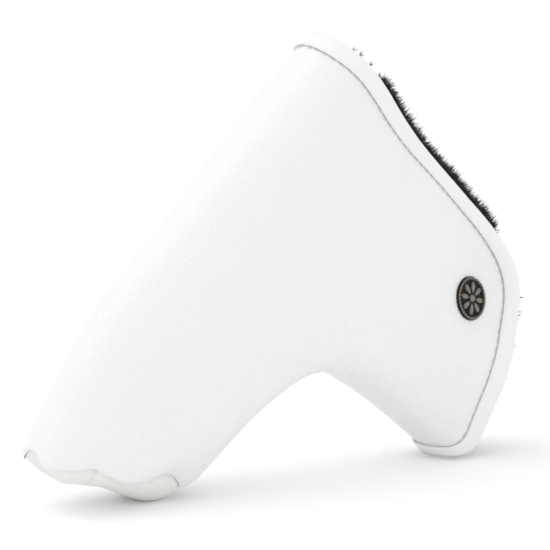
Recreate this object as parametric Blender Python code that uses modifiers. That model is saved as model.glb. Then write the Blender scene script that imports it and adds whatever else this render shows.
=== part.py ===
"""Head cover for a blade putter: a padded leather boot whose mouth has two hinged walls and a snap.

Frame: X runs from the toe to the neck, Y across the thickness, Z up. The cover stands on its toe
gusset and on the tip of its neck, both flat at Z = 0. Outlines are given in millimetres in the
mid-plane Y = 0 and every solid is built in metres.
"""
import math

import bmesh
import bpy
import numpy as np
from mathutils import Matrix, Vector

MM = 0.001
GAP = 0.3
BINDING_GAP = 0.45

# Outlines in the mid-plane, (X, Z) in millimetres
FOLD_LINE = ((-91.3, 22), (-66.3, 60), (-38.3, 90.5), (-11.8, 119.5), (14.7, 146.5))
SEAM_LINE = ((-36.3, 5), (-12.5, 29.5), (7.3, 37.9), (31.0, 25.3), (60.7, 0.8))
MOUTH_LINE = ((14.7, 146.5), (26.2, 134.5), (44.7, 111.5), (85.2, 68.5), (88.2, 38.5), (73.7, 10.0),
              (60.7, 0.8))
TOE_LINE = ((-91.3, 22), (-83.3, 15.5), (-63.3, 9.5), (-47.3, 5.5), (-36.3, 5))

# Half thickness of the boot along its length, and along the mouth from fold to seam
LENGTH_STOPS = (0.0, 0.35, 1.0)
LENGTH_HALF = (17.0, 19.5, 19.5)
MOUTH_STOPS = (0.0, 0.14, 0.3, 0.42, 0.55, 0.7, 0.82, 1.0)
MOUTH_HALF = (17.5, 17.5, 13.5, 10.4, 9.8, 11.5, 13.5, 13.5)
MOUTH_BLEND = (0.45, 1.0)
FOLD_ROUND = (27.0, 24.0, 17.0)
SEAM_ROUND = (27.0, 24.0, 15.0)
TOE_WIDTH = 60.0
MOUTH_WIDTH = 185.0

# Layers, as depths below the outer surface
LEATHER = (0.0, 1.2)
PADDING = (1.5, 4.5)
LINING = (4.8, 7.0)
PADDING_START = 0.016
LINING_START = 0.026

# Toe gusset
TOE_DOME = 9.0
TOE_AXIS = (-0.30, 0.0, -0.954)
TOE_CORE = (0.28, 0.72)
TOE_RINGS = 4
TOE_PADDING = (2.0, 4.8)
TOE_LINING = (5.4, 7.4)

# Binding and its stitching
BINDING_WIDTH = 6.0
BINDING_THICKNESS = 1.0
THREAD_RADIUS = 0.25
THREAD_SIDES = 6

# Mesh density
RING_HALF = 16
LENGTH_STEPS = 12

# Hinge lines of the two mouth walls, (X, Z), and their distance from the mid-plane
HINGE_TOP = (21.7, 140.0)
HINGE_BOTTOM = (71.7, 9.0)
HINGE_Y = 19.0
SPLIT_GAP = 0.4

# Snap fastener, size line 24
SNAP_CENTRE = (68.7, 55.5)
PINCH_DEPTH = 2.0
PINCH_RADIUS = 14.0
CAP_RADIUS = 7.5
CAP_SEAT = 0.6
POST_CAP_RADIUS = 5.0
SHANK_RADIUS = 1.9
SHANK_HOLE_RADIUS = 2.3
SHANK_DEPTH = 7.2
FLANGE_Y = 2.6
FLANGE_THICKNESS = 0.8
SOCKET_RADIUS = 6.2
STUD_RADIUS = 6.0
SCREW_STEPS = 24

WHITE_LEATHER = ((0.86, 0.85, 0.82), 0.45, 0.0)
GUSSET_LEATHER = ((0.78, 0.76, 0.71), 0.50, 0.0)
FOAM = ((0.72, 0.72, 0.70), 0.90, 0.0)
BLACK_PLUSH = ((0.015, 0.015, 0.017), 0.95, 0.0)
GREY_THREAD = ((0.42, 0.42, 0.42), 0.60, 0.0)
GUNMETAL = ((0.20, 0.18, 0.17), 0.35, 1.0)
BRASS = ((0.55, 0.50, 0.42), 0.30, 1.0)


# ---------------------------------------------------------------- outline and surface

def smooth_line(points, samples=40):
    """Catmull-Rom curve through the points, with its running length."""
    knots = np.array(points, float)
    knots = np.vstack([2 * knots[0] - knots[1], knots, 2 * knots[-1] - knots[-2]])
    places = []
    for a, b, c, d in zip(knots[:-3], knots[1:-2], knots[2:-1], knots[3:]):
        for u in np.linspace(0, 1, samples, endpoint=False):
            cubic = -a + 3 * b - 3 * c + d
            square = 2 * a - 5 * b + 4 * c - d
            places.append(0.5 * (2 * b + (c - a) * u + square * u ** 2 + cubic * u ** 3))
    places.append(knots[-2])
    places = np.array(places)
    steps = np.linalg.norm(np.diff(places, axis=0), axis=1)
    return places, np.concatenate([[0.0], np.cumsum(steps)])


FOLD = smooth_line(FOLD_LINE)
SEAM = smooth_line(SEAM_LINE)
MOUTH = smooth_line(MOUTH_LINE)
TOE = smooth_line(TOE_LINE)


def along(line, u):
    """Point of a line at the fraction u of its length."""
    places, lengths = line
    target = u * lengths[-1]
    return np.array([np.interp(target, lengths, places[:, 0]), np.interp(target, lengths, places[:, 1])])


def plane_point(t, s):
    """Mid-plane point: t runs from fold to seam, s from toe to mouth (a Coons patch)."""
    ends = (1 - s) * along(TOE, t) + s * along(MOUTH, t)
    sides = (1 - t) * along(FOLD, s) + t * along(SEAM, s)
    corners = (1 - t) * ((1 - s) * along(FOLD, 0) + s * along(FOLD, 1))
    corners = corners + t * ((1 - s) * along(SEAM, 0) + s * along(SEAM, 1))
    return ends + sides - corners


def ease(x, start, end):
    u = min(max((x - start) / (end - start), 0.0), 1.0)
    return u * u * (3 - 2 * u)


def rounding(distance, radius):
    """Quarter ellipse that closes the section at a fold."""
    d = min(max(distance / radius, 0.0), 1.0)
    return math.sqrt(max(0.0, 1 - (1 - d) ** 2))


def half_thickness(t, s):
    width = TOE_WIDTH + (MOUTH_WIDTH - TOE_WIDTH) * ease(s, 0.35, 1.0)
    body = np.interp(s, LENGTH_STOPS, LENGTH_HALF)
    mouth = np.interp(t, MOUTH_STOPS, MOUTH_HALF)
    blend = ease(s, *MOUTH_BLEND)
    fold = rounding(t * width, np.interp(s, (0, 0.5, 1), FOLD_ROUND))
    seam = rounding((1 - t) * width, np.interp(s, (0, 0.5, 1), SEAM_ROUND))
    reach = np.linalg.norm(plane_point(t, s) - np.array(SNAP_CENTRE))
    pinch = PINCH_DEPTH * math.exp(-0.5 * (reach / PINCH_RADIUS) ** 2)
    return (body * (1 - blend) + mouth * blend - pinch) * fold * seam


def surface(angle, s):
    """Outer surface: angle 0 is the fold, pi the seam; the near side (-Y) lies between them."""
    t = (1 - math.cos(angle)) / 2
    x, z = plane_point(t, s)
    side = -1 if math.sin(angle) > 0 else 1
    return np.array([x, side * half_thickness(t, s), z])


def surface_frame(angle, s):
    """Point, outward normal and unit direction towards the mouth, with the length per unit of s."""
    step = 0.002
    s_low, s_high = max(s - step, 0.0), min(s + step, 1.0)
    forward = (surface(angle, s_high) - surface(angle, s_low)) / (s_high - s_low)
    around = surface(angle + step, s) - surface(angle - step, s)
    length = np.linalg.norm(forward)
    forward = forward / length
    normal = np.cross(around, forward)
    normal = normal / np.linalg.norm(normal)
    return surface(angle, s), normal, np.cross(normal, around / np.linalg.norm(around)), length


def from_rim(angle, back, depth):
    """Point a distance back from the mouth rim and a depth below the outer surface."""
    length = surface_frame(angle, 1.0)[3]
    point, normal, forward, _ = surface_frame(angle, 1.0 - max(back, 0.0) / length)
    return point - normal * depth + forward * max(-back, 0.0)


def ring_angles():
    return [math.pi * i / RING_HALF for i in range(2 * RING_HALF)]


# ---------------------------------------------------------------- objects

def clear_scene():
    for obj in list(bpy.data.objects):
        bpy.data.objects.remove(obj, do_unlink=True)


def make_collection(name):
    collection = bpy.data.collections.new(name)
    bpy.context.scene.collection.children.link(collection)
    return collection


def make_material(name, look):
    colour, roughness, metallic = look
    material = bpy.data.materials.new(name)
    material.use_nodes = True
    shader = material.node_tree.nodes["Principled BSDF"]
    shader.inputs["Base Color"].default_value = (*colour, 1.0)
    shader.inputs["Roughness"].default_value = roughness
    shader.inputs["Metallic"].default_value = metallic
    return material


def add_mesh(name, points, faces, collection, look=None, parent=None):
    """Object from points in millimetres, coincident points merged."""
    mesh = bpy.data.meshes.new(name)
    mesh.from_pydata([tuple(np.asarray(p, float) * MM) for p in points], [], faces)
    bm = bmesh.new()
    bm.from_mesh(mesh)
    bmesh.ops.remove_doubles(bm, verts=bm.verts, dist=0.01 * MM)
    bm.to_mesh(mesh)
    bm.free()
    mesh.shade_smooth()
    obj = bpy.data.objects.new(name, mesh)
    collection.objects.link(obj)
    if look:
        mesh.materials.append(make_material(name + "_look", look))
    if parent:
        obj.parent = parent
        obj.matrix_parent_inverse = parent.matrix_world.inverted()
    return obj


def skin_rows(rows, closed_rows=False):
    """Points and faces of a sheet through closed rings; outward when the rings advance."""
    count = len(rows[0])
    points = [p for row in rows for p in row]
    faces = []
    last = len(rows) if closed_rows else len(rows) - 1
    for r in range(last):
        upper = (r + 1) % len(rows)
        for j in range(count):
            k = (j + 1) % count
            faces.append((r * count + j, r * count + k, upper * count + k, upper * count + j))
    return points, faces


def solidify(obj, inner_from, inner_to):
    """Thickness between two depths below the sheet; negative depths lie outside it."""
    modifier = obj.modifiers.new("thickness", 'SOLIDIFY')
    modifier.thickness = (inner_to - inner_from) * MM
    modifier.offset = -(inner_from + inner_to) / (inner_to - inner_from)


def boolean(obj, operation, cutter):
    modifier = obj.modifiers.new(operation.lower() + "_" + cutter.name, 'BOOLEAN')
    modifier.operation = operation
    modifier.solver = 'EXACT'
    modifier.object = cutter


def hide_cutter(obj):
    obj.hide_render = True
    obj.display_type = 'WIRE'


def box_cutter(name, size, location, collection, tilt=0.0):
    """Box of a size in millimetres, turned about Y."""
    bpy.ops.mesh.primitive_cube_add(size=1.0)
    obj = bpy.context.object
    obj.name = name
    obj.data.transform(Matrix.Diagonal(Vector([v * MM for v in size] + [1.0])))
    obj.location = [v * MM for v in location]
    obj.rotation_euler = (0.0, tilt, 0.0)
    for home in list(obj.users_collection):
        home.objects.unlink(obj)
    collection.objects.link(obj)
    hide_cutter(obj)
    return obj


def turned(name, profile, origin, axis, collection, look=None, parent=None):
    """Solid of revolution: profile of (radius, height) from top to bottom, height along the axis."""
    mesh = bpy.data.meshes.new(name)
    points = [(radius * MM, 0.0, height * MM) for radius, height in profile]
    mesh.from_pydata(points, [(i, i + 1) for i in range(len(points) - 1)], [])
    obj = bpy.data.objects.new(name, mesh)
    collection.objects.link(obj)
    screw = obj.modifiers.new("turn", 'SCREW')
    screw.axis = 'Z'
    screw.steps = SCREW_STEPS
    screw.render_steps = SCREW_STEPS
    screw.use_merge_vertices = True
    screw.merge_threshold = 0.00001
    screw.use_smooth_shade = True
    turn = Vector((0, 0, 1)).rotation_difference(Vector(axis))
    place = Matrix.Translation(Vector(origin) * MM) @ turn.to_matrix().to_4x4()
    if look:
        mesh.materials.append(make_material(name + "_look", look))
    if parent:
        obj.parent = parent
        obj.matrix_parent_inverse = parent.matrix_world.inverted()
    obj.matrix_basis = place
    return obj


# ---------------------------------------------------------------- sheets of the boot

def tube_rows(start):
    """Rings of the outer surface from a fraction of the length to the mouth."""
    return [[surface(a, s) for a in ring_angles()] for s in np.linspace(start, 1.0, LENGTH_STEPS + 1)]


def toe_rows(edge_depth):
    """Rings of the domed toe end, from its middle line out to a depth below the outer surface."""
    rows = [[] for _ in range(TOE_RINGS + 1)]
    axis = np.array(TOE_AXIS)
    for angle in ring_angles():
        t = (1 - math.cos(angle)) / 2
        point, normal, _, _ = surface_frame(angle, 0.0)
        edge = point - normal * (LEATHER[1] + GAP)
        x, z = along(TOE, min(max(t, TOE_CORE[0]), TOE_CORE[1]))
        core = np.array([x, 0.0, z])
        span = np.linalg.norm(edge - core)
        limit = 1.0 - (edge_depth - LEATHER[1] - GAP) / span
        for row, share in zip(rows, np.linspace(0.0, limit, TOE_RINGS + 1)):
            place = core + (edge - core) * share + axis * TOE_DOME * (1 - share ** 2)
            place[2] = max(place[2], 0.0)
            row.append(place)
    return rows


def binding_rows():
    """Inner face of the binding: from its back edge to the rim, then over the edges of the layers."""
    profile = [(BINDING_WIDTH, -BINDING_GAP), (BINDING_WIDTH / 2, -BINDING_GAP), (0.0, -BINDING_GAP)]
    profile += [(-BINDING_GAP, 0.0), (-BINDING_GAP, PADDING[1])]
    return [[from_rim(a, back, depth) for a in ring_angles()] for back, depth in profile]


def thread_rows():
    """Thread laid in the step between the binding and the leather."""
    back = BINDING_WIDTH + THREAD_RADIUS + GAP
    height = -GAP - THREAD_RADIUS
    rows = []
    for i in range(THREAD_SIDES):
        turn = 2 * math.pi * i / THREAD_SIDES
        b = back + THREAD_RADIUS * math.cos(turn)
        d = height - THREAD_RADIUS * math.sin(turn)
        rows.append([from_rim(a, b, d) for a in ring_angles()])
    return rows


# ---------------------------------------------------------------- regions that split the mouth walls

def hinge_direction():
    run = np.array(HINGE_TOP, float) - np.array(HINGE_BOTTOM, float)
    return run / np.linalg.norm(run)


def make_cutters(collection):
    """Boxes beyond the hinge line for each wall, the pocket's clearance, both ends, and the floor."""
    run = hinge_direction()
    across = np.array([run[1], -run[0]])
    middle = (np.array(HINGE_TOP, float) + np.array(HINGE_BOTTOM, float)) / 2
    tilt = math.atan2(run[0], run[1])
    reach, deep, tall = 90.0, 60.0, 260.0

    def beyond(name, shift, y_centre, y_size):
        x, z = middle + across * (reach / 2 + shift)
        return box_cutter(name, (reach, y_size, tall), (x, y_centre, z), collection, tilt)

    return {
        "near": beyond("near_wall_region", 0.0, -deep / 2 - GAP, deep),
        "far": beyond("far_wall_region", 0.0, deep / 2 + GAP, deep),
        "clear": beyond("mouth_wall_clearance", -SPLIT_GAP, 0.0, 3 * deep),
        "upper": box_cutter("upper_region", (400, 100, 150), (0, 0, 155), collection),
        "lower": box_cutter("lower_region", (400, 100, 150), (0, 0, 5), collection),
        "floor": box_cutter("floor_region", (400, 200, 40), (0, 0, -20), collection),
    }


def make_hinge(name, side, collection):
    """Empty on a hinge line, its Z along the line."""
    middle = (np.array(HINGE_TOP, float) + np.array(HINGE_BOTTOM, float)) / 2
    run = hinge_direction()
    empty = bpy.data.objects.new(name, None)
    empty.empty_display_size = 0.02
    collection.objects.link(empty)
    turn = Vector((0, 0, 1)).rotation_difference(Vector((run[0], 0.0, run[1])))
    place = Matrix.Translation(Vector((middle[0], side * HINGE_Y, middle[1])) * MM)
    empty.matrix_world = place @ turn.to_matrix().to_4x4()
    bpy.context.view_layer.update()
    return empty


# ---------------------------------------------------------------- sub-parts

def make_layer(name, rows, depths, look, collection, parent=None, closed_rows=False):
    points, faces = skin_rows(rows, closed_rows)
    obj = add_mesh(name, points, faces, collection, look, parent)
    if depths:
        solidify(obj, *depths)
    return obj


def make_walls(parts, cutters, hinges, holes):
    """Leather, padding, lining, binding and stitching of the pocket and of both mouth walls."""
    binding_depths = (-BINDING_THICKNESS, 0.0)
    layers = (
        ("leather", tube_rows(0.0), LEATHER, WHITE_LEATHER),
        ("padding", tube_rows(PADDING_START), PADDING, FOAM),
        ("lining", tube_rows(LINING_START), LINING, BLACK_PLUSH),
    )
    for name, rows, depths, look in layers:
        pocket_name = "outer_shell" if name == "leather" else "body_" + name
        pocket = make_layer(pocket_name, rows, depths, look, parts)
        boolean(pocket, 'DIFFERENCE', cutters["clear"])
        boolean(pocket, 'DIFFERENCE', cutters["floor"])
        for side in ("near", "far"):
            wall = make_layer(side + "_flap_" + name, rows, depths, look, parts, hinges[side])
            boolean(wall, 'INTERSECT', cutters[side])
            boolean(wall, 'DIFFERENCE', holes[side])
    trims = (
        ("binding", binding_rows(), binding_depths, WHITE_LEATHER, False),
        ("stitching", thread_rows(), None, GREY_THREAD, True),
    )
    for name, rows, depths, look, closed in trims:
        for end, region in (("top_fold_", "upper"), ("neck_tip_", "lower")):
            trim = make_layer(end + name, rows, depths, look, parts, None, closed)
            boolean(trim, 'DIFFERENCE', cutters["clear"])
            boolean(trim, 'INTERSECT', cutters[region])
            boolean(trim, 'DIFFERENCE', cutters["floor"])
        for side in ("near", "far"):
            trim = make_layer(side + "_flap_" + name, rows, depths, look, parts, hinges[side], closed)
            boolean(trim, 'INTERSECT', cutters[side])


def make_toe(parts):
    edge = LEATHER[1] + GAP
    make_layer("toe_gusset", toe_rows(edge), LEATHER, GUSSET_LEATHER, parts)
    make_layer("toe_padding", toe_rows(PADDING[1] + GAP), TOE_PADDING, FOAM, parts)
    make_layer("toe_lining", toe_rows(LINING[1] + GAP), TOE_LINING, BLACK_PLUSH, parts)


def snap_frames():
    """Place and outward normal of the snap on each wall's outer surface."""
    best = None
    for angle in np.linspace(0.3 * math.pi, 0.8 * math.pi, 101):
        for s in np.linspace(0.75, 0.95, 41):
            miss = np.linalg.norm(surface(angle, s)[[0, 2]] - np.array(SNAP_CENTRE))
            if best is None or miss < best[0]:
                best = (miss, angle, s)
    point, normal, _, _ = surface_frame(best[1], best[2])
    mirror = np.array([1.0, -1.0, 1.0])
    return {"near": (point, normal), "far": (point * mirror, normal * mirror)}


def make_snap_holes(frames, collection):
    """Clearance holes for the shanks, square to each wall."""
    holes = {}
    for side, (point, normal) in frames.items():
        profile = [(0.0, 6.0), (SHANK_HOLE_RADIUS, 6.0), (SHANK_HOLE_RADIUS, -14.0), (0.0, -14.0)]
        holes[side] = turned(side + "_snap_hole", profile, point, normal, collection)
        hide_cutter(holes[side])
    return holes


def make_snap(frames, parts, hinges):
    """Cap and socket on the near wall, post and stud on the far wall."""
    seat = CAP_SEAT
    point, normal = frames["near"]
    cap = [(0.0, seat + 2.5), (4.4, seat + 2.5), (6.4, seat + 2.2), (CAP_RADIUS, seat + 1.3),
           (CAP_RADIUS, seat + 0.5), (CAP_RADIUS - 0.5, seat), (SHANK_RADIUS, seat),
           (SHANK_RADIUS, -SHANK_DEPTH), (0.0, -SHANK_DEPTH)]
    turned("snap_cap", cap, point, normal, parts, GUNMETAL, hinges["near"])
    point, normal = frames["far"]
    post = [(0.0, seat + 1.1), (POST_CAP_RADIUS - 1.0, seat + 1.1), (POST_CAP_RADIUS, seat + 0.4),
            (POST_CAP_RADIUS, seat), (SHANK_RADIUS, seat), (SHANK_RADIUS, -SHANK_DEPTH),
            (0.0, -SHANK_DEPTH)]
    turned("snap_post", post, point, normal, parts, GUNMETAL, hinges["far"])
    middle = (SNAP_CENTRE[0], 0.0, SNAP_CENTRE[1])
    plate = FLANGE_Y - FLANGE_THICKNESS
    socket = [(0.0, FLANGE_Y), (SOCKET_RADIUS, FLANGE_Y), (SOCKET_RADIUS, plate), (5.0, plate),
              (5.0, 0.0), (3.9, 0.0), (3.9, plate - 0.2), (0.0, plate - 0.2)]
    turned("snap_socket", socket, middle, (0, -1, 0), parts, BRASS, hinges["near"])
    stud = [(0.0, FLANGE_Y), (STUD_RADIUS, FLANGE_Y), (STUD_RADIUS, plate), (2.2, plate), (2.2, 1.0),
            (2.6, 0.4), (2.4, -0.3), (1.7, -0.9), (0.0, -0.9)]
    turned("snap_stud", stud, middle, (0, 1, 0), parts, BRASS, hinges["far"])


def main():
    clear_scene()
    parts = make_collection("putter_head_cover")
    tools = make_collection("cutters")
    cutters = make_cutters(tools)
    hinges = {
        "near": make_hinge("near_flap_hinge", -1, parts),
        "far": make_hinge("far_flap_hinge", 1, parts),
    }
    frames = snap_frames()
    holes = make_snap_holes(frames, tools)
    make_walls(parts, cutters, hinges, holes)
    make_toe(parts)
    make_snap(frames, parts, hinges)


main()
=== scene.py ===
"""Visual model of the blade putter head cover: pebbled white leather, plush lining and a snap.

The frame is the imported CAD. Outlines are the boot's mid-plane lines in millimetres, close to the
CAD's own. Leather, binding, stitches and pile are all placed from one surface.
"""

import math

import bmesh
import bpy
import numpy as np
from mathutils import Matrix, Vector

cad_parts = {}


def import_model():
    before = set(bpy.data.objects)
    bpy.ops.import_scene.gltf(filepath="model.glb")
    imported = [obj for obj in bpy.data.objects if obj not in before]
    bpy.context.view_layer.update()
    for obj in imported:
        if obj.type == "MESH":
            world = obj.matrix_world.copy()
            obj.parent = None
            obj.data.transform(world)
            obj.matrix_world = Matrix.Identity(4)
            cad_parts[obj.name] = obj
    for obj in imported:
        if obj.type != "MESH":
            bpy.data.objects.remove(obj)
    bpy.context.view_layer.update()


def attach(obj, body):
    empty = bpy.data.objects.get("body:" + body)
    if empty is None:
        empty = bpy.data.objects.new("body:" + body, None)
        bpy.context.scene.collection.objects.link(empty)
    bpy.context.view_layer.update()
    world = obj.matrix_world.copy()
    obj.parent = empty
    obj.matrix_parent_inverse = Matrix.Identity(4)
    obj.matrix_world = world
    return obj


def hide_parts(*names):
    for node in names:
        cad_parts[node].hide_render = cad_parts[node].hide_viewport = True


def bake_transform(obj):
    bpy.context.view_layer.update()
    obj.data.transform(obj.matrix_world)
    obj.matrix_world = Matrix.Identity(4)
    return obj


MM = 0.001

# Mid-plane outlines, (X, Z) in millimetres
FOLD_LINE = ((-90.0, 22), (-66.3, 60), (-38.3, 90.5), (-11.8, 119.5), (14.7, 146.5))
SEAM_LINE = ((-34.3, 7), (-12.5, 29.5), (7.3, 37.9), (31.0, 25.3), (60.7, 0.8))
MOUTH_LINE = ((14.7, 146.5), (26.2, 134.5), (44.7, 111.5), (86.2, 69.3), (87.2, 39.5), (73.4, 10.0),
              (68.2, 2.4), (60.7, 0.8))
TOE_LINE = ((-90.0, 22), (-88.6, 16.9), (-83.4, 12.9), (-74.0, 10.4), (-64.0, 7.6), (-55.0, 4.6),
            (-46.5, 2.8), (-39.6, 3.2), (-34.3, 7))

# Half thickness along the boot and along the mouth
MOUTH_STOPS = (0.0, 0.14, 0.3, 0.42, 0.55, 0.7, 0.82, 1.0)
MOUTH_HALF = (17.5, 17.5, 13.5, 10.4, 9.8, 11.5, 13.5, 13.5)
LENGTH_STOPS = (0.0, 0.35, 1.0)
LENGTH_HALF = (17.0, 19.5, 19.5)
FOLD_ROUND = (27.0, 24.0, 17.0)
SEAM_ROUND = (27.0, 24.0, 15.0)
MOUTH_WIDTH = 185.0
SNAP_CENTRE = (68.7, 55.5)
SNAP_SLOPE = (0.20, 0.11)
SNAP_SLOPE_RADIUS = 11.0
PINCH_DEPTH = 2.0
PINCH_RADIUS = 14.0

# Toe end
TOE_WIDTH = 66.0
TOE_ROLL_DEPTH = 2.6
TOE_ROLL_SHARE = 0.05
TOE_LIFT_LINE = ((0.0, 0.0), (0.035, -0.7), (0.078, -0.8), (0.13, 1.9), (0.22, 3.6),
                 (0.315, 4.9), (0.40, 3.3), (0.52, 2.0), (0.60, 3.8), (0.70, 6.9),
                 (0.78, 6.7), (0.84, 4.2), (0.90, 1.0), (1.0, 0.0))
TOE_LIFT_SHARE = 0.22
TOE_DOME_PLACES = (0.28, 0.45, 0.72)
TOE_DOME = (2.4, 1.7, 4.0)
TOE_CREASE_X = -72.8
TOE_CREASE_DEPTH = 0.8
TOE_AXIS = np.array([-0.30, 0.0, -0.954])
TOE_CORE = (0.28, 0.72)

# Layers as depths below the outer surface
LEATHER = (0.0, 1.2)
PADDING = (1.5, 4.5)
LINING = (4.8, 7.0)
LINING_ROUGH = 0.35
BINDING_WIDTH = 5.0
RIM_BACK = 1.35

# Stitches behind the binding
STITCH_BACK = BINDING_WIDTH + 0.28
STITCH_PITCH = 3.4
STITCH_LENGTH = 3.0
THREAD_RADIUS = 0.22

# Places round the mouth, from fold to seam, where stray fibres show
STRAY_CLUMPS = (0.036, 0.052, 0.08, 0.655, 0.682, 0.692, 0.742, 0.80, 0.967)

# Snap cap
CAP_RADIUS = 7.5
CAP_PETALS = 8
CAP_BEADS = 34

# Camera and light
CAMERA_YAW = 30.0
CAMERA_DIP = 10.0
CAMERA_DISTANCE = 0.8
CAMERA_LENS = 158.7
CAMERA_TARGET = (0.0047, 0.010, 0.066)
WORLD_LIGHT = 1.05
KEY_POWER = 1.3
FILL_POWER = 0.3

ANGLES = 120
WHITE = (0.815, 0.815, 0.815)


# ---------------------------------------------------------------- surface of the boot

def smooth_line(points, samples=40):
    """Catmull-Rom curve through the points, with its running length."""
    knots = np.array(points, float)
    knots = np.vstack([2 * knots[0] - knots[1], knots, 2 * knots[-1] - knots[-2]])
    places = []
    for a, b, c, d in zip(knots[:-3], knots[1:-2], knots[2:-1], knots[3:]):
        for u in np.linspace(0, 1, samples, endpoint=False):
            cubic = -a + 3 * b - 3 * c + d
            square = 2 * a - 5 * b + 4 * c - d
            places.append(0.5 * (2 * b + (c - a) * u + square * u ** 2 + cubic * u ** 3))
    places.append(knots[-2])
    places = np.array(places)
    steps = np.linalg.norm(np.diff(places, axis=0), axis=1)
    return places, np.concatenate([[0.0], np.cumsum(steps)])


FOLD = smooth_line(FOLD_LINE)
SEAM = smooth_line(SEAM_LINE)
MOUTH = smooth_line(MOUTH_LINE)
TOE = smooth_line(TOE_LINE)
TOE_LIFT = smooth_line(TOE_LIFT_LINE)[0]


def along(line, u):
    """Points of a line at fractions u of its length."""
    places, lengths = line
    target = np.asarray(u, float) * lengths[-1]
    x = np.interp(target, lengths, places[:, 0])
    z = np.interp(target, lengths, places[:, 1])
    return np.stack([x, z], -1)


def ease(x, start, end):
    u = np.clip((np.asarray(x, float) - start) / (end - start), 0, 1)
    return u * u * (3 - 2 * u)


def rounding(distance, radius):
    """Quarter ellipse that closes the section at a fold."""
    d = np.clip(distance / radius, 0, 1)
    return np.sqrt(np.maximum(0, 1 - (1 - d) ** 2))


def plane_point(t, s):
    """Mid-plane point: t from fold to seam, s from toe to mouth (a Coons patch)."""
    t = np.asarray(t, float)
    s = np.asarray(s, float)
    tt, ss = t[..., None], s[..., None]
    ends = (1 - ss) * along(TOE, t) + ss * along(MOUTH, t)
    sides = (1 - tt) * along(FOLD, s) + tt * along(SEAM, s)
    corners = (1 - tt) * ((1 - ss) * along(FOLD, 0) + ss * along(FOLD, 1))
    corners = corners + tt * ((1 - ss) * along(SEAM, 0) + ss * along(SEAM, 1))
    return ends + sides - corners


def half_thickness(t, s, plane):
    width = TOE_WIDTH + (MOUTH_WIDTH - TOE_WIDTH) * ease(s, 0.35, 1.0)
    body = np.interp(s, LENGTH_STOPS, LENGTH_HALF)
    mouth = np.interp(t, MOUTH_STOPS, MOUTH_HALF)
    blend = ease(s, 0.45, 1.0)
    fold = rounding(t * width, np.interp(s, (0, 0.5, 1), FOLD_ROUND))
    seam = rounding((1 - t) * width, np.interp(s, (0, 0.5, 1), SEAM_ROUND))
    reach = np.linalg.norm(plane - np.array(SNAP_CENTRE), axis=-1)
    pinch = PINCH_DEPTH * np.exp(-0.5 * (reach / PINCH_RADIUS) ** 2)
    slope = (plane - np.array(SNAP_CENTRE)) @ np.array(SNAP_SLOPE)
    pinch = pinch + slope * np.exp(-0.5 * (reach / SNAP_SLOPE_RADIUS) ** 2)
    return (body * (1 - blend) + mouth * blend - pinch) * fold * seam


def toe_lift(t, s):
    """How far the lower edge is drawn up along the toe: it sags in the middle and holds the corners."""
    return np.interp(t, TOE_LIFT[:, 0], TOE_LIFT[:, 1]) * (1 - ease(s, 0, TOE_LIFT_SHARE)) ** 2


def surface(angle, s):
    """Outer surface of the near half; angle 0 is the fold and pi the seam."""
    angle, s = np.broadcast_arrays(np.asarray(angle, float), np.asarray(s, float))
    t = (1 - np.cos(angle)) / 2
    plane = plane_point(t, s)
    side = np.where(np.sin(angle) >= 0, -1.0, 1.0)
    half = side * half_thickness(t, s, plane)
    point = np.stack([plane[..., 0], half, plane[..., 1]], -1)
    core_plane = plane_point(np.clip(t, *TOE_CORE), s)
    core = np.stack([core_plane[..., 0], np.zeros_like(half), core_plane[..., 1]], -1)
    inward = core - point
    inward = inward / np.maximum(np.linalg.norm(inward, axis=-1, keepdims=True), 1e-9)
    edge = np.clip(1 - s / TOE_ROLL_SHARE, 0, 1)
    roll = TOE_ROLL_DEPTH * (1 - np.sqrt(1 - np.minimum(edge, 0.999) ** 2))
    return point + inward * roll[..., None] - TOE_AXIS * toe_lift(t, s)[..., None]


def frame_at(angle, s):
    """Point, outward normal, direction to the mouth, and length per unit of s."""
    step = 0.0015
    angle, s = np.broadcast_arrays(np.asarray(angle, float), np.asarray(s, float))
    low, high = np.maximum(s - step, 0), np.minimum(s + step, 1)
    forward = (surface(angle, high) - surface(angle, low)) / (high - low)[..., None]
    around = surface(angle + step, s) - surface(angle - step, s)
    length = np.linalg.norm(forward, axis=-1)
    forward = forward / length[..., None]
    normal = np.cross(around, forward)
    normal = normal / np.linalg.norm(normal, axis=-1, keepdims=True)
    around = around / np.linalg.norm(around, axis=-1, keepdims=True)
    return surface(angle, s), normal, np.cross(normal, around), length


def from_rim(angle, back, depth):
    """Points a distance back from the mouth rim and a depth below the outer surface."""
    angle, back, depth = np.broadcast_arrays(angle, back, depth)
    length = frame_at(angle, np.ones_like(back, float))[3]
    back = back + RIM_BACK
    point, normal, forward, _ = frame_at(angle, 1 - np.maximum(back, 0) / length)
    beyond = np.maximum(-back, 0)[..., None]
    return point - normal * depth[..., None] + forward * beyond


# ---------------------------------------------------------------- meshes

def mirror_far(points):
    return points * np.array([1.0, -1.0, 1.0])


def make_mesh(name, points, faces, uvs=None, normals=None):
    """Smooth mesh object from points in millimetres, with optional per-vertex UVs and normals."""
    mesh = bpy.data.meshes.new(name)
    mesh.from_pydata((np.asarray(points) * MM).tolist(), [], faces)
    mesh.shade_smooth()
    if uvs is not None:
        layer = mesh.uv_layers.new(name="surface")
        loops = np.zeros(len(mesh.loops), np.int32)
        mesh.loops.foreach_get("vertex_index", loops)
        layer.data.foreach_set("uv", (np.asarray(uvs)[loops] * MM).astype(np.float32).ravel())
    if normals is not None:
        mesh.normals_split_custom_set_from_vertices(np.asarray(normals).tolist())
    obj = bpy.data.objects.new(name, mesh)
    bpy.context.scene.collection.objects.link(obj)
    return obj


def grid_faces(rows, columns, start=0, flip=False):
    faces = []
    for i in range(rows - 1):
        for j in range(columns - 1):
            a = start + i * columns + j
            face = (a, a + 1, a + columns + 1, a + columns)
            faces.append(face[::-1] if flip else face)
    return faces


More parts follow.
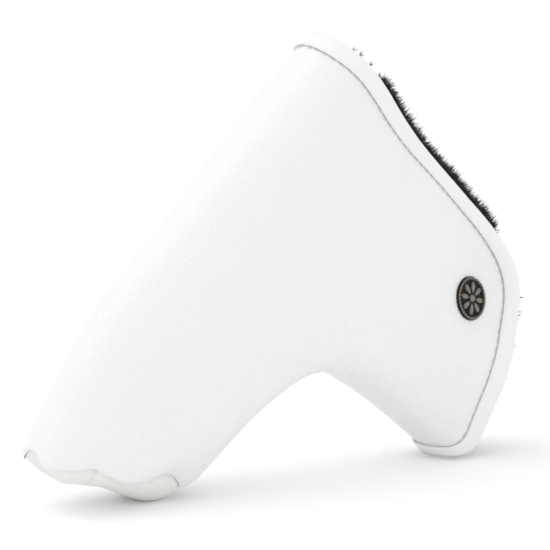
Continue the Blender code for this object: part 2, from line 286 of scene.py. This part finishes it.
def running_uv(grid):
    """UVs in millimetres: distance around each ring, and distance along each column."""
    around = np.linalg.norm(np.diff(grid, axis=1), axis=-1)
    onward = np.linalg.norm(np.diff(grid, axis=0), axis=-1)
    u = np.concatenate([np.zeros((grid.shape[0], 1)), np.cumsum(around, axis=1)], axis=1)
    v = np.concatenate([np.zeros((1, grid.shape[1])), np.cumsum(onward, axis=0)], axis=0)
    return np.stack([u, v], -1)


def shell(name, outer, inner, normals, far, uv_shift=0.0):
    """Closed shell between an outer and an inner grid of a near half, mirrored for the far one."""
    rows, columns = outer.shape[:2]
    count = rows * columns
    uv = running_uv(outer).reshape(-1, 2) + uv_shift
    points = np.vstack([outer.reshape(-1, 3), inner.reshape(-1, 3)])
    flat = normals.reshape(-1, 3)
    normal_list = np.vstack([flat, -flat])
    faces = grid_faces(rows, columns, 0, far) + grid_faces(rows, columns, count, not far)
    border = [j for j in range(columns)]
    border += [i * columns + columns - 1 for i in range(1, rows)]
    border += [(rows - 1) * columns + j for j in range(columns - 2, -1, -1)]
    border += [i * columns for i in range(rows - 2, 0, -1)]
    for a, b in zip(border, border[1:] + border[:1]):
        face = (b, a, a + count, b + count)
        faces.append(face[::-1] if far else face)
    if far:
        points = mirror_far(points)
        normal_list = mirror_far(normal_list)
    return make_mesh(name, points, faces, np.vstack([uv, uv]), normal_list)


def length_stops(start=0.0):
    """Fractions of the boot's length, closer together at the toe roll and at the mouth."""
    stops = np.concatenate([
        np.linspace(0, TOE_ROLL_SHARE, 14)[:-1],
        np.linspace(TOE_ROLL_SHARE, 0.92, 105)[:-1],
        np.linspace(0.92, 1.0, 24),
    ])
    return np.concatenate([[start], stops[stops > start + 0.001]])


def waves(points, size, seed):
    """Smooth field of low bumps over space, from a few fixed sine waves."""
    rng = np.random.default_rng(seed)
    total = np.zeros(points.shape[:-1])
    for _ in range(9):
        direction = rng.normal(size=3)
        direction = direction / np.linalg.norm(direction)
        turns = rng.uniform(0.6, 1.6) * 2 * math.pi / size
        total += np.sin(points @ direction * turns + rng.uniform(0, 6.28))
    return total / 9


def half_grid(stops, depth, relief=0.0):
    """Grid of the near half at a depth, with its outward normals."""
    angles = np.linspace(0, math.pi, ANGLES + 1)
    s, a = np.meshgrid(stops, angles, indexing="ij")
    s = s * (1 - RIM_BACK / frame_at(a, np.ones_like(s))[3])
    point, normal, _, _ = frame_at(a, s)
    shift = relief * waves(point, 60.0, 3) - depth
    return point + normal * shift[..., None], normal


def clip_floor(points):
    """Keeps points at or above the floor."""
    points = points.copy()
    points[..., 2] = np.maximum(points[..., 2], 0.02)
    return points


# ---------------------------------------------------------------- materials

def node_material(name):
    material = bpy.data.materials.new(name)
    material.use_nodes = True
    nodes = material.node_tree.nodes
    return material, nodes, material.node_tree.links, nodes["Principled BSDF"]


def add_node(nodes, kind, **values):
    """Shader node with some input values set by name."""
    node = nodes.new(kind)
    for key, value in values.items():
        node.inputs[key.replace("_", " ")].default_value = value
    return node


def ramp_node(nodes, low, high):
    node = nodes.new("ShaderNodeMapRange")
    node.inputs["To Min"].default_value = low
    node.inputs["To Max"].default_value = high
    return node


def leather_material(name, colour, shade, grain=0.7, roughness=0.36, cell=1.0):
    """Pebbled synthetic leather: rounded cells, fine pores, slight colour and gloss variation."""
    material, nodes, links, shader = node_material(name)
    place = nodes.new("ShaderNodeUVMap")
    place.uv_map = "surface"
    pebble = add_node(nodes, "ShaderNodeTexVoronoi", Scale=1000 / cell, Randomness=0.9)
    pebble.feature = 'SMOOTH_F1'
    pores = add_node(nodes, "ShaderNodeTexNoise", Scale=2600.0, Detail=3.0)
    patches = add_node(nodes, "ShaderNodeTexNoise", Scale=28.0, Detail=4.0)
    for node in (pebble, pores, patches):
        links.new(place.outputs["UV"], node.inputs["Vector"])
    mix = nodes.new("ShaderNodeMix")
    mix.data_type = 'RGBA'
    mix.inputs["A"].default_value = (*colour, 1)
    mix.inputs["B"].default_value = (*shade, 1)
    links.new(patches.outputs["Fac"], mix.inputs["Factor"])
    links.new(mix.outputs["Result"], shader.inputs["Base Color"])
    gloss = ramp_node(nodes, roughness - 0.07, roughness + 0.12)
    links.new(pores.outputs["Fac"], gloss.inputs["Value"])
    links.new(gloss.outputs["Result"], shader.inputs["Roughness"])
    coarse = add_node(nodes, "ShaderNodeBump", Strength=grain, Distance=0.00034)
    coarse.invert = True
    links.new(pebble.outputs["Distance"], coarse.inputs["Height"])
    fine = add_node(nodes, "ShaderNodeBump", Strength=0.35 * grain, Distance=0.00006)
    links.new(pores.outputs["Fac"], fine.inputs["Height"])
    links.new(coarse.outputs["Normal"], fine.inputs["Normal"])
    links.new(fine.outputs["Normal"], shader.inputs["Normal"])
    shader.inputs["Specular IOR Level"].default_value = 0.45
    return material


def foam_material():
    material, nodes, links, shader = node_material("padding_foam")
    place = nodes.new("ShaderNodeTexCoord")
    cells = add_node(nodes, "ShaderNodeTexVoronoi", Scale=1400.0)
    links.new(place.outputs["Object"], cells.inputs["Vector"])
    mix = nodes.new("ShaderNodeMix")
    mix.data_type = 'RGBA'
    mix.inputs["A"].default_value = (0.62, 0.62, 0.60, 1)
    mix.inputs["B"].default_value = (0.74, 0.74, 0.72, 1)
    links.new(cells.outputs["Distance"], mix.inputs["Factor"])
    links.new(mix.outputs["Result"], shader.inputs["Base Color"])
    shader.inputs["Roughness"].default_value = 0.9
    return material


def plush_material(name, scale):
    """Black pile: near-black fibres with a soft sheen."""
    material, nodes, links, shader = node_material(name)
    place = nodes.new("ShaderNodeTexCoord")
    fibres = add_node(nodes, "ShaderNodeTexNoise", Scale=scale, Detail=5.0, Roughness=0.7)
    links.new(place.outputs["Object"], fibres.inputs["Vector"])
    mix = nodes.new("ShaderNodeMix")
    mix.data_type = 'RGBA'
    mix.inputs["A"].default_value = (0.004, 0.004, 0.005, 1)
    mix.inputs["B"].default_value = (0.028, 0.027, 0.029, 1)
    links.new(fibres.outputs["Fac"], mix.inputs["Factor"])
    links.new(mix.outputs["Result"], shader.inputs["Base Color"])
    bump = add_node(nodes, "ShaderNodeBump", Strength=0.9, Distance=0.0007)
    links.new(fibres.outputs["Fac"], bump.inputs["Height"])
    links.new(bump.outputs["Normal"], shader.inputs["Normal"])
    shader.inputs["Roughness"].default_value = 0.95
    shader.inputs["Sheen Weight"].default_value = 0.25
    shader.inputs["Sheen Roughness"].default_value = 0.5
    shader.inputs["Specular IOR Level"].default_value = 0.15
    return material


def thread_material():
    """Grey twisted sewing thread."""
    material, nodes, links, shader = node_material("sewing_thread")
    place = nodes.new("ShaderNodeTexCoord")
    twist = add_node(nodes, "ShaderNodeTexWave", Scale=900.0, Distortion=1.5)
    links.new(place.outputs["Object"], twist.inputs["Vector"])
    mix = nodes.new("ShaderNodeMix")
    mix.data_type = 'RGBA'
    mix.inputs["A"].default_value = (0.56, 0.56, 0.555, 1)
    mix.inputs["B"].default_value = (0.70, 0.70, 0.69, 1)
    links.new(twist.outputs["Fac"], mix.inputs["Factor"])
    links.new(mix.outputs["Result"], shader.inputs["Base Color"])
    shader.inputs["Roughness"].default_value = 0.65
    return material


def metal_material(name, colour, stain_and_painted_shade, roughness):
    """Plated metal with stains, and painted shade where the mesh attribute marks recesses."""
    material, nodes, links, shader = node_material(name)
    # Painted shade: a per-vertex share that darkens the metal towards the dark colour in recesses
    depth = nodes.new("ShaderNodeAttribute")
    depth.attribute_name = "stain_and_painted_shade"
    place = nodes.new("ShaderNodeTexCoord")
    stain = add_node(nodes, "ShaderNodeTexNoise", Scale=900.0, Detail=4.0)
    links.new(place.outputs["Object"], stain.inputs["Vector"])
    mix = nodes.new("ShaderNodeMix")
    mix.data_type = 'RGBA'
    mix.inputs["A"].default_value = (*colour, 1)
    mix.inputs["B"].default_value = (*stain_and_painted_shade, 1)
    share = nodes.new("ShaderNodeMath")
    share.operation = 'MULTIPLY_ADD'
    share.use_clamp = True
    links.new(stain.outputs["Fac"], share.inputs[0])
    share.inputs[1].default_value = 0.35
    links.new(depth.outputs["Fac"], share.inputs[2])
    links.new(share.outputs["Value"], mix.inputs["Factor"])
    links.new(mix.outputs["Result"], shader.inputs["Base Color"])
    gloss = ramp_node(nodes, roughness - 0.08, roughness + 0.15)
    links.new(stain.outputs["Fac"], gloss.inputs["Value"])
    links.new(gloss.outputs["Result"], shader.inputs["Roughness"])
    shader.inputs["Metallic"].default_value = 0.9
    return material


# ---------------------------------------------------------------- pieces


def bend(piece):
    """Bakes the piece's placement into its mesh."""
    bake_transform(piece)


def finish_piece(piece, material, replaced=()):
    piece.data.materials.append(material)
    if replaced:
        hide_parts(*replaced)
    return piece


def make_walls(looks):
    """Leather, padding and lining of both sides."""
    leather, normal = half_grid(length_stops(), LEATHER[0], relief=0.25)
    leather_in, _ = half_grid(length_stops(), LEATHER[1])
    pad_stops = length_stops(0.07)
    pad_out, pad_normal = half_grid(pad_stops, PADDING[0])
    pad_in, _ = half_grid(pad_stops, PADDING[1])
    lining_out, _ = half_grid(pad_stops, LINING[0])
    lining_in, _ = half_grid(pad_stops, LINING[1])
    rough = LINING_ROUGH * np.random.default_rng(5).normal(size=lining_in.shape[:2])
    lining_in = lining_in - pad_normal * rough[..., None]
    for side in ("near", "far"):
        far = side == "far"
        piece = shell("leather_" + side, clip_floor(leather), clip_floor(leather_in), normal, far)
        finish_piece(piece, looks["leather"], ("outer_shell", side + "_flap_leather"))
        bend(piece)
        piece = shell("padding_" + side, clip_floor(pad_out), clip_floor(pad_in), pad_normal, far)
        finish_piece(piece, looks["foam"], ("body_padding", side + "_flap_padding"))
        bend(piece)
        piece = shell("lining_" + side, clip_floor(lining_out), clip_floor(lining_in), pad_normal, far)
        finish_piece(piece, looks["plush"], ("body_lining", side + "_flap_lining"))
        bend(piece)


def widening(angle):
    """Extra width of the binding: drawn tight along the heel, easier round the lower corner."""
    t = (1 - np.cos(angle)) / 2
    return 1.4 * np.exp(-(((t - 0.8) / 0.12) ** 2)) - 1.1 * np.exp(-(((t - 0.34) / 0.13) ** 2))


def binding_profile():
    """Section of the binding as (distance back, depth): from its cut edge over the rim and inside."""
    w = BINDING_WIDTH
    outer = [(w, -0.05), (w - 0.05, -0.62), (w - 0.35, -0.92), (w - 1.4, -1.15), (w - 2.6, -1.28),
             (1.4, -1.28), (0.5, -1.15), (-0.2, -0.9), (-0.8, -0.45), (-1.15, 0.2), (-1.33, 1.1),
             (-1.35, 2.4), (-1.25, 3.5), (-1.0, 4.3), (-0.5, 4.75)]
    inner = [(-0.3, 4.3), (-0.4, 2.4), (-0.3, 0.4), (0.2, -0.2), (2.4, -0.25), (w - 0.3, -0.05)]
    return outer + inner


def make_bindings(looks):
    """Leather band folded over the rim, one half a side, with painted shade in grey on its cut edge behind,
    for the groove's shadow.
    """
    profile = binding_profile()
    angles = np.linspace(0, math.pi, 241)
    extra = widening(angles)
    rows = [(b + extra * min(max(b / BINDING_WIDTH, 0), 1), d) for b, d in profile]
    grid = np.array([from_rim(angles, back, np.full_like(angles, depth)) for back, depth in rows])
    loop = np.concatenate([grid, grid[:1]])
    count = len(angles)
    uv = running_uv(loop)[:-1].reshape(-1, 2)
    for side in ("near", "far"):
        far = side == "far"
        points = clip_floor(grid).reshape(-1, 3)
        points = mirror_far(points) if far else points
        faces = []
        for i in range(len(profile)):
            k = (i + 1) % len(profile)
            for j in range(count - 1):
                face = (i * count + j, i * count + j + 1, k * count + j + 1, k * count + j)
                faces.append(face[::-1] if far else face)
        piece = make_mesh("binding_" + side, points, faces, uv)
        end_node = "top_fold_binding" if side == "near" else "neck_tip_binding"
        finish_piece(piece, looks["binding"], (side + "_flap_binding", end_node))
        # Painted shade: the cut edge faces behind the binding are grey, standing in for the shadow in the
        # groove
        piece.data.materials.append(looks["groove_shade"])
        for polygon in list(piece.data.polygons)[:count - 1]:
            polygon.material_index = 1
        bend(piece)


def make_stitches(looks):
    """Row of short stitches pulled into the step behind the binding."""
    fine = np.linspace(0.02, math.pi - 0.02, 1600)
    line = from_rim(fine, STITCH_BACK + widening(fine), np.zeros_like(fine))
    run = np.concatenate([[0], np.cumsum(np.linalg.norm(np.diff(line, axis=0), axis=1))])
    count = int(run[-1] // STITCH_PITCH)
    stations, sides = np.linspace(0, 1, 9), 8
    turns = 2 * math.pi * np.arange(sides) / sides
    n, u, turn = np.meshgrid(np.arange(count), stations, turns, indexing="ij")
    angle = np.interp((n + 0.5) * STITCH_PITCH + (u - 0.5) * STITCH_LENGTH, run, fine)
    lift = 0.30 * np.sin(math.pi * u) ** 0.7 - 0.12
    radius = THREAD_RADIUS * (0.35 + 0.65 * np.sin(math.pi * u) ** 0.5)
    back = STITCH_BACK + widening(angle) + 0.14 * (u - 0.5) + radius * np.cos(turn)
    points = clip_floor(from_rim(angle, back, -lift - radius * np.sin(turn))).reshape(-1, 3)
    faces = []
    for stitch in range(count):
        base = stitch * len(stations) * sides
        for i in range(len(stations) - 1):
            for k in range(sides):
                a, b = base + i * sides + k, base + i * sides + (k + 1) % sides
                faces.append((a, b, b + sides, a + sides))
        last = base + (len(stations) - 1) * sides
        faces.append(tuple(range(base + sides - 1, base - 1, -1)))
        faces.append(tuple(range(last, last + sides)))
    for side in ("near", "far"):
        far = side == "far"
        cloud = mirror_far(points) if far else points
        turned_faces = [face[::-1] for face in faces] if far else faces
        piece = make_mesh("stitches_" + side, cloud, turned_faces)
        end_node = "top_fold_stitching" if side == "near" else "neck_tip_stitching"
        finish_piece(piece, looks["thread"], (side + "_flap_stitching", end_node))
        bend(piece)


def toe_grid(edge_depth, rings=40):
    """Rings of the cushioned toe end, from its middle line out to the walls' lower edge."""
    angles = np.linspace(0, 2 * math.pi, 361)[:-1]
    t = (1 - np.cos(angles)) / 2
    point = surface(angles, np.zeros_like(angles))
    core_place = np.clip(t, *TOE_CORE)
    core_line = along(TOE, core_place)
    core = np.stack([core_line[:, 0], np.zeros_like(t), core_line[:, 1]], -1)
    span = np.linalg.norm(point - core, axis=-1, keepdims=True)
    edge = core + (point - core) * (1 - edge_depth / span) - TOE_AXIS * 0.8
    drop = (edge - core) @ TOE_AXIS
    lateral = edge - core - drop[:, None] * TOE_AXIS
    share = np.sin(np.linspace(0, math.pi / 2, rings))[:, None]
    side = ease(np.abs(np.sin(angles)), 0.3, 0.9)
    fullness = (1 - share ** (1.3 + 1.3 * side)) ** (1.0 - 0.38 * side)
    depth = drop + (np.interp(core_place, TOE_DOME_PLACES, TOE_DOME) - drop) * fullness
    grid = core + lateral * share[..., None] + depth[..., None] * TOE_AXIS
    crease = np.exp(-(((grid[..., 0] - TOE_CREASE_X) / 0.7) ** 2)) * (grid[..., 1] < 0)
    dent = crease * TOE_CREASE_DEPTH * ease(share, 0.5, 0.85)
    outward = lateral / np.linalg.norm(lateral, axis=-1, keepdims=True)
    return grid - outward * dent[..., None]


def toe_piece(name, edge_depth, depths, look, node):
    """Domed toe layer lying between two depths, flattened where the boot stands on it."""
    grid = clip_floor(toe_grid(edge_depth))
    rows, columns = grid.shape[:2]
    points = grid.reshape(-1, 3)
    faces = []
    for i in range(rows - 1):
        for j in range(columns):
            k = (j + 1) % columns
            faces.append((i * columns + j, i * columns + k, (i + 1) * columns + k, (i + 1) * columns + j))
    piece = make_mesh(name, points, faces, points[:, :2])
    weld = bmesh.new()
    weld.from_mesh(piece.data)
    bmesh.ops.remove_doubles(weld, verts=weld.verts, dist=0.005 * MM)
    weld.to_mesh(piece.data)
    weld.free()
    thickness = piece.modifiers.new("thickness", 'SOLIDIFY')
    thickness.thickness = (depths[1] - depths[0]) * MM
    thickness.offset = -(depths[0] + depths[1]) / (depths[1] - depths[0])
    finish_piece(piece, look, (node,))
    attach(piece, "pocket")
    return piece


def make_toe(looks):
    toe_piece("toe_gusset_visual", 0.5, LEATHER, looks["gusset"], "toe_gusset")
    padding = toe_piece("toe_padding_visual", 3.6, (2.0, 4.8), looks["foam"], "toe_padding")
    toe_piece("toe_lining_visual", 6.2, (5.4, 7.4), looks["plush"], "toe_lining")


def spikes(roots, directions, lengths, radius, seed):
    """Points and faces of thin bent three-sided fibres."""
    rng = np.random.default_rng(seed)
    stations = ((0.0, 1.0), (0.55, 0.7), (1.0, 0.08))
    side = np.cross(directions, rng.normal(size=directions.shape))
    side = side / np.linalg.norm(side, axis=-1, keepdims=True)
    other = np.cross(directions, side)
    lean = rng.normal(scale=0.22, size=(len(roots), 1)) * lengths[:, None]
    points = np.zeros((len(roots), len(stations), 3, 3))
    for i, (along_it, girth) in enumerate(stations):
        centre = roots + directions * (lengths[:, None] * along_it) + side * lean * along_it ** 2
        for k in range(3):
            turn = 2 * math.pi * k / 3
            points[:, i, k] = centre + (side * math.cos(turn) + other * math.sin(turn)) * radius * girth
    faces = []
    for n in range(len(roots)):
        base = n * 3 * len(stations)
        for i in range(len(stations) - 1):
            for k in range(3):
                m = (k + 1) % 3
                a = base + i * 3
                faces.append((a + k, a + m, a + 3 + m, a + 3 + k))
    return points.reshape(-1, 3), faces


def fringe_share(t):
    """How far the pile stands out of the mouth: proud along the heel edge, held in elsewhere."""
    return ease(t, 0.085, 0.13) * (1 - ease(t, 0.50, 0.56))


def rim_fibres(rng):
    """Roots, directions and lengths of the fibres that line the mouth."""
    count = 9000
    angle = np.concatenate([
        rng.uniform(0.02, 0.98, count // 2) * math.pi,
        rng.uniform(0.19, 0.55, count // 2) * math.pi,
    ])
    proud = fringe_share((1 - np.cos(angle)) / 2)
    back = rng.uniform(-1.6, 1.2, count) + 2.2 * (1 - proud)
    depth = rng.uniform(3.2, 6.6, count)
    _, normal, forward, _ = frame_at(angle, np.ones_like(angle))
    lean = rng.uniform(-0.55, -0.1, count) * (1 - proud) + rng.uniform(-0.1, 0.35, count) * proud
    heading = forward * (0.35 + 0.65 * proud)[:, None] + normal * lean[:, None]
    length = rng.uniform(1.3, 2.0, count) * (1 - proud) + rng.uniform(3.0, 5.6, count) * proud
    tuft = 0.5 + 0.5 * np.sin(angle * 151 + 2.2 * np.sin(angle * 47))
    length = length * (1 - 0.3 * proud * tuft)
    return from_rim(angle, back, np.maximum(depth, 0.3)), heading, length


def stray_fibres(rng):
    """Small clumps that have worked out over the binding."""
    places = np.array(STRAY_CLUMPS)
    angle = np.arccos(1 - 2 * np.repeat(places, 7)) + rng.normal(scale=0.003, size=7 * len(places))
    _, normal, forward, _ = frame_at(angle, np.ones_like(angle))
    heading = forward * 1.6 + normal * rng.uniform(0.1, 0.6, len(angle))[:, None]
    roots = from_rim(angle, np.full_like(angle, -1.0), np.full_like(angle, 3.2))
    return roots, heading, rng.uniform(1.7, 3.2, len(angle))


def inside_fibres(rng):
    """Fibres over the inside of the boot, as far as the mouth lets one see."""
    count = 6500
    angle = rng.uniform(0.03, 0.97, count) * math.pi
    point, normal, forward, _ = frame_at(angle, rng.uniform(0.55, 0.985, count))
    return point - normal * 6.9, forward * 0.5 - normal, rng.uniform(1.2, 2.0, count)


def make_pile(looks):
    """Plush fibres round the rim and over the inside of both walls."""
    rng = np.random.default_rng(11)
    groups = [rim_fibres(rng), stray_fibres(rng), inside_fibres(rng)]
    roots, heading, length = (np.concatenate([group[i] for group in groups]) for i in range(3))
    heading = heading + rng.normal(scale=0.25, size=heading.shape)
    heading = heading / np.linalg.norm(heading, axis=-1, keepdims=True)
    points, faces = spikes(roots, heading, length, 0.17, 12)
    for side in ("near", "far"):
        cloud = mirror_far(points) if side == "far" else points
        turned_faces = [f[::-1] for f in faces] if side == "far" else faces
        piece = make_mesh("plush_pile_" + side, clip_floor(cloud), turned_faces)
        finish_piece(piece, looks["pile"])
        bend(piece)


def lathe_mesh(name, profile, segments=56):
    """Closed turned mesh from a profile of (radius, height), top to bottom, from axis to axis."""
    points = [(0.0, 0.0, profile[0][1])]
    ring = profile[1:-1]
    for radius, height in ring:
        for k in range(segments):
            turn = 2 * math.pi * k / segments
            points.append((radius * math.cos(turn), radius * math.sin(turn), height))
    points.append((0.0, 0.0, profile[-1][1]))
    faces = [(0, 1 + k, 1 + (k + 1) % segments) for k in range(segments)]
    for i in range(len(ring) - 1):
        for k in range(segments):
            m = (k + 1) % segments
            a, b = 1 + i * segments, 1 + (i + 1) * segments
            faces.append((a + k, b + k, b + m, a + m))
    last, end = 1 + (len(ring) - 1) * segments, len(points) - 1
    faces += [(end, last + (k + 1) % segments, last + k) for k in range(segments)]
    obj = make_mesh(name, points, faces)
    obj.data.set_sharp_from_angle(angle=math.radians(40))
    return obj


def set_painted_recess_shade(obj, values):
    layer = obj.data.attributes.new("stain_and_painted_shade", 'FLOAT', 'POINT')
    layer.data.foreach_set("value", np.asarray(values, np.float32))


def rosette_height(radius, turn):
    """Relief of the cap: beaded rim, eight petals and a centre boss, in millimetres."""
    height = 0.65 + 0.25 * (1 - (radius / CAP_RADIUS) ** 2)
    rim = np.exp(-(((radius - 6.8) / 0.5) ** 2))
    bead = 0.5 + 0.5 * np.cos(turn * CAP_BEADS)
    height = height + rim * (0.5 + 0.35 * bead)
    step = 2 * math.pi / CAP_PETALS
    off = (turn + step / 2) % step - step / 2
    across = radius * np.abs(np.sin(off)) / (0.35 + 0.16 * radius)
    petal = np.maximum(0, 1 - ((radius - 3.8) / 2.1) ** 2 - across ** 2)
    height = height + 0.75 * np.sqrt(petal)
    vein = np.exp(-((radius * np.sin(off) / 0.16) ** 2)) * (radius > 1.8) * (radius < 5.4)
    height = height - 0.18 * vein * np.sqrt(petal)
    boss = np.maximum(0, 1 - (radius / 1.35) ** 2)
    return height + 0.85 * np.sqrt(boss)


def make_cap(looks, place):
    """Snap cap with a generic rosette, its shank reaching through the wall."""
    rings = np.concatenate([np.linspace(0.08, 7.1, 58), [7.3, 7.45, 7.5]])
    turns = np.linspace(0, 2 * math.pi, 193)[:-1]
    radius, turn = np.meshgrid(rings, turns, indexing="ij")
    height = rosette_height(radius, turn)
    height = height * np.sqrt(np.clip((7.62 - radius) / 0.5, 0.2, 1))
    points = np.stack([radius * np.cos(turn), radius * np.sin(turn), height], -1).reshape(-1, 3)
    skirt = [(7.5, 0.25), (7.2, -0.1), (1.9, -0.1), (1.9, -6.9)]
    extra = [(r * math.cos(a), r * math.sin(a), h) for r, h in skirt for a in turns]
    points = np.vstack([points, extra, [[0, 0, points[0][2]], [0, 0, -6.9]]])
    count = len(turns)
    rows = len(rings) + len(skirt)
    faces = []
    for i in range(rows - 1):
        for j in range(count):
            k = (j + 1) % count
            faces.append((i * count + j, (i + 1) * count + j, (i + 1) * count + k, i * count + k))
    faces += [(len(points) - 2, j, (j + 1) % count) for j in range(count)]
    last = (rows - 1) * count
    faces += [(len(points) - 1, last + (j + 1) % count, last + j) for j in range(count)]
    obj = make_mesh("snap_cap_rosette", points, faces)
    # Painted shade: the lower the relief, the darker the cap, standing in for shade in the rosette's recesses
    shade_share = np.full(len(points), 0.2)
    flat = height.ravel()
    shade_share[:len(flat)] = 1 - np.clip((flat - 0.85) / 0.6, 0, 1)
    set_painted_recess_shade(obj, shade_share * 1.1 - 0.25)
    obj.data.transform(place)
    finish_piece(obj, looks["gunmetal"], ("snap_cap",))
    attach(obj, "near_flap")


def snap_place(side):
    """Transform of the snap on a wall, its +Z outward."""
    angles, stops = np.meshgrid(np.linspace(0.4, 0.75, 141) * math.pi, np.linspace(0.72, 0.95, 93))
    point, normal, _, _ = frame_at(angles, stops)
    reach = np.linalg.norm(point[..., [0, 2]] - np.array(SNAP_CENTRE), axis=-1)
    best = np.unravel_index(reach.argmin(), reach.shape)
    place, outward = point[best], normal[best]
    sign = -1.0 if side == "far" else 1.0
    place, outward = place * [1, sign, 1], outward * [1, sign, 1]
    turn = Vector((0, 0, 1)).rotation_difference(Vector(outward))
    return Matrix.Translation(Vector(place) * MM) @ turn.to_matrix().to_4x4()


def make_snap(looks):
    make_cap(looks, snap_place("near"))
    post = [(0, 1.35), (2.6, 1.3), (4.2, 1.05), (4.85, 0.55), (5.0, 0.0), (1.9, -0.1), (1.9, -6.9), (0, -6.9)]
    inside = [(0, 2.55), (5.9, 2.55), (6.2, 2.4), (6.2, 1.9), (5.9, 1.8), (5.0, 1.8), (5.0, 0.3), (4.85, 0.1),
              (4.3, 0.05), (3.9, 0.2), (3.9, 1.6), (0, 1.6)]
    stud = [(0, 2.55), (5.7, 2.55), (6.0, 2.4), (6.0, 1.9), (5.7, 1.8), (2.9, 1.8), (2.25, 1.5), (2.2, 1.0),
            (2.6, 0.4), (2.5, -0.3), (1.7, -0.85), (0, -0.9)]
    middle = Matrix.Translation(Vector((SNAP_CENTRE[0], 0, SNAP_CENTRE[1])) * MM)
    near_turn = middle @ Matrix.Rotation(math.pi / 2, 4, 'X')
    far_turn = middle @ Matrix.Rotation(-math.pi / 2, 4, 'X')
    parts = (
        ("snap_post_rivet", post, snap_place("far"), "gunmetal", "snap_post", "far_flap"),
        ("snap_socket_turned", inside, near_turn, "nickel_brass", "snap_socket", "near_flap"),
        ("snap_stud_turned", stud, far_turn, "nickel_brass", "snap_stud", "far_flap"),
    )
    for name, profile, place, look, node, body in parts:
        obj = lathe_mesh(name, profile)
        set_painted_recess_shade(obj, np.zeros(len(obj.data.vertices)))
        obj.data.transform(place)
        finish_piece(obj, looks[look], (node,))
        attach(obj, body)


# ---------------------------------------------------------------- camera, light and floor

def make_camera():
    yaw, dip, distance = math.radians(CAMERA_YAW), math.radians(CAMERA_DIP), CAMERA_DISTANCE
    ahead = Vector((math.sin(yaw) * math.cos(dip), math.cos(yaw) * math.cos(dip), -math.sin(dip)))
    data = bpy.data.cameras.new("camera")
    data.sensor_width = 36.0
    data.lens = CAMERA_LENS
    camera = bpy.data.objects.new("camera", data)
    camera.location = Vector(CAMERA_TARGET) - ahead * distance
    camera.rotation_euler = ahead.to_track_quat('-Z', 'Y').to_euler()
    bpy.context.scene.collection.objects.link(camera)
    bpy.context.scene.camera = camera


def make_area(name, location, target, size, power):
    data = bpy.data.lights.new(name, 'AREA')
    data.shape = 'RECTANGLE'
    data.size, data.size_y = size
    data.energy = power
    light = bpy.data.objects.new(name, data)
    light.location = location
    aim = Vector(target) - Vector(location)
    light.rotation_euler = aim.to_track_quat('-Z', 'Y').to_euler()
    bpy.context.scene.collection.objects.link(light)


def make_studio():
    """White sweep of floor under a soft box high on the left and a white surround."""
    world = bpy.data.worlds.new("studio")
    world.use_nodes = True
    world.node_tree.nodes["Background"].inputs["Color"].default_value = (1, 1, 1, 1)
    world.node_tree.nodes["Background"].inputs["Strength"].default_value = WORLD_LIGHT
    bpy.context.scene.world = world
    make_area("soft_box", (-0.45, 0.25, 0.75), (0.0, 0.0, 0.06), (0.6, 0.6), KEY_POWER)
    make_area("front_fill", (0.35, -0.9, 0.5), (0.0, 0.0, 0.06), (0.9, 0.9), FILL_POWER)
    mesh = bpy.data.meshes.new("studio_floor")
    reach = 9.0
    mesh.from_pydata([(-reach, -reach, 0), (reach, -reach, 0), (reach, reach, 0), (-reach, reach, 0)],
                     [], [(0, 1, 2, 3)])
    floor = bpy.data.objects.new("studio_floor", mesh)
    bpy.context.scene.collection.objects.link(floor)
    material, _, _, shader = node_material("pale_floor")
    shader.inputs["Base Color"].default_value = (0.975, 0.975, 0.977, 1)
    shader.inputs["Roughness"].default_value = 0.75
    shader.inputs["Specular IOR Level"].default_value = 0.2
    mesh.materials.append(material)
    bpy.context.scene.view_settings.view_transform = 'Standard'


def main():
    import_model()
    looks = {
        "leather": leather_material("white_pebbled_leather", WHITE, (0.785, 0.785, 0.785)),
        "binding": leather_material("white_binding_leather", (0.82, 0.82, 0.82), (0.79, 0.79, 0.79), 0.3),
        "gusset": leather_material("gusset_leather", (0.80, 0.79, 0.77), (0.77, 0.76, 0.735), 0.35, 0.5),
        "foam": foam_material(),
        "plush": plush_material("black_plush", 1800.0),
        "thread": thread_material(),
        # Grey painted shade for the groove behind the binding
        "groove_shade": leather_material("grey_painted_groove_shade", (0.60, 0.60, 0.595), (0.70, 0.70, 0.695), 0.2, 0.6),
        "pile": plush_material("black_pile", 5000.0),
        # Gunmetal: stains plus painted shade in the cap's recesses
        "gunmetal": metal_material("gunmetal_painted_recess_shade", (0.225, 0.20, 0.18), (0.012, 0.009, 0.007), 0.34),
        "nickel_brass": metal_material("nickel_plate", (0.62, 0.58, 0.50), (0.2, 0.17, 0.12), 0.28),
    }
    make_camera()
    make_studio()
    make_walls(looks)
    make_bindings(looks)
    make_stitches(looks)
    make_toe(looks)
    make_pile(looks)
    make_snap(looks)


main()
